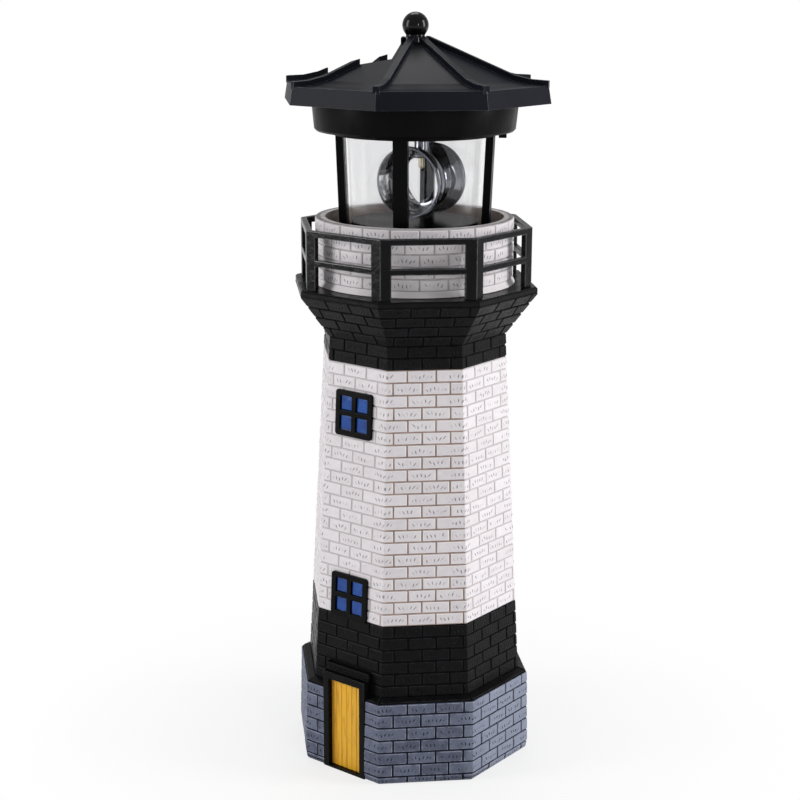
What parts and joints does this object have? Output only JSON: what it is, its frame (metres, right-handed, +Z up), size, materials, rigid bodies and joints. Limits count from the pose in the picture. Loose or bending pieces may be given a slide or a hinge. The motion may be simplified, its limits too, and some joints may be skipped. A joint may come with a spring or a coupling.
{
  "type": "lighthouse garden light",
  "caption": "Octagonal brick lighthouse ornament with a gallery railing and a lift-off solar lamp unit whose motor turns a double-bowl reflector in a clear lantern.",
  "frame": {"origin": "middle of the base's underside, on the ground", "axes": "+Z up the lighthouse, -Y out of the door, +X to the right seen from the door's side"},
  "size_m": [0.119, 0.119, 0.36],
  "materials": {
    "painted_casting": "painted resin and stone, matt",
    "black_railing": "satin black paint",
    "window_frame_paint": "satin black",
    "window_pane_blue": "gloss blue",
    "door_frame_paint": "satin black",
    "door_plank_yellow": "matt yellow with darker grain",
    "black_moulding": "fine grained black",
    "clear_plastic": "clear acrylic, polished",
    "roof_plastic": "fine grained dark grey",
    "finial_plastic": "semi-gloss dark grey",
    "solar_board": "dark blue cells on a board",
    "solar_glaze": "clear resin coat",
    "reflector_chrome": "vacuum metallised plastic, bright",
    "gear_plastic": "natural white acetal",
    "pinion_brass": "turned brass",
    "plate_steel": "zinc plated sheet",
    "pin_steel": "ground",
    "motor_steel": "plated can",
    "stalk_plastic": "white moulding",
    "led_epoxy": "clear warm white",
    "cell_wrap": "green shrink wrap",
    "holder_plastic": "black",
    "contact_steel": "nickel plated",
    "board_laminate": "green solder mask",
    "chip_epoxy": "black epoxy",
    "capacitor_can": "sleeved can",
    "switch_plastic": "black",
    "knob_plastic": "black",
    "screw_steel": "zinc plated"
  },
  "bodies": {
    "tower": {"tower_casting": "painted_casting", "gallery_railing": "black_railing", "lower_window_frame": "window_frame_paint", "upper_window_frame": "window_frame_paint", "lower_window_panes": "window_pane_blue", "upper_window_panes": "window_pane_blue", "door_frame": "door_frame_paint", "door_leaf": "door_plank_yellow"},
    "lantern_head": {"lantern_base": "black_moulding", "lantern_cage": "black_moulding", "clear_tube": "clear_plastic", "head_housing": "black_moulding", "roof_shell": "roof_plastic", "finial_ball": "finial_plastic", "solar_panel_board": "solar_board", "solar_panel_glaze": "solar_glaze", "gear_plate": "plate_steel", "idler_axle": "pin_steel", "motor": "motor_steel", "led_stalk": "stalk_plastic", "led_lamp": "led_epoxy", "battery": "cell_wrap", "battery_holder": "holder_plastic", "battery_contact": "contact_steel", "battery_spring": "contact_steel", "circuit_board": "board_laminate", "charge_controller": "chip_epoxy", "storage_capacitor": "capacitor_can", "switch_body": "switch_plastic", "base_screw_1": "screw_steel", "base_screw_2": "screw_steel", "base_screw_3": "screw_steel", "base_screw_4": "screw_steel", "cage_screw_1": "screw_steel", "cage_screw_2": "screw_steel", "cage_screw_3": "screw_steel", "cage_screw_4": "screw_steel", "roof_screw_1": "screw_steel", "roof_screw_2": "screw_steel", "roof_screw_3": "screw_steel", "roof_screw_4": "screw_steel", "plate_screw_1": "screw_steel", "plate_screw_2": "screw_steel", "plate_screw_3": "screw_steel", "plate_screw_4": "screw_steel"},
    "beacon": {"beacon_reflector": "reflector_chrome", "output_gear": "gear_plastic"},
    "idler": {"idler_gear": "gear_plastic"},
    "pinion": {"motor_pinion": "pinion_brass"},
    "switch": {"switch_knob": "knob_plastic"}
  },
  "joints": [
    {"name": "lantern_lift", "type": "slide", "parent": "tower", "child": "lantern_head", "axis": [0, 0, 1], "range_m": [0, 0.03]},
    {"name": "beacon_spin", "type": "hinge", "parent": "lantern_head", "child": "beacon", "pos_m": [0.00252, 0.00197, 0.2828], "axis": [0, 0, 1], "continuous": true},
    {"name": "idler_spin", "type": "hinge", "parent": "lantern_head", "child": "idler", "pos_m": [0.01058, -0.01068, 0.3113], "axis": [0, 0, 1], "continuous": true},
    {"name": "pinion_spin", "type": "hinge", "parent": "lantern_head", "child": "pinion", "pos_m": [0.01987, -0.00217, 0.3127], "axis": [0, 0, 1], "continuous": true},
    {"name": "switch_slide", "type": "slide", "parent": "lantern_head", "child": "switch", "axis": [-0.5446, 0.8387, 0], "range_m": [0, 0.002]}
  ],
  "couplings": [
    {"joint": "idler_spin", "follows": "beacon_spin", "ratio": -4},
    {"joint": "pinion_spin", "follows": "beacon_spin", "ratio": 12.8}
  ]
}
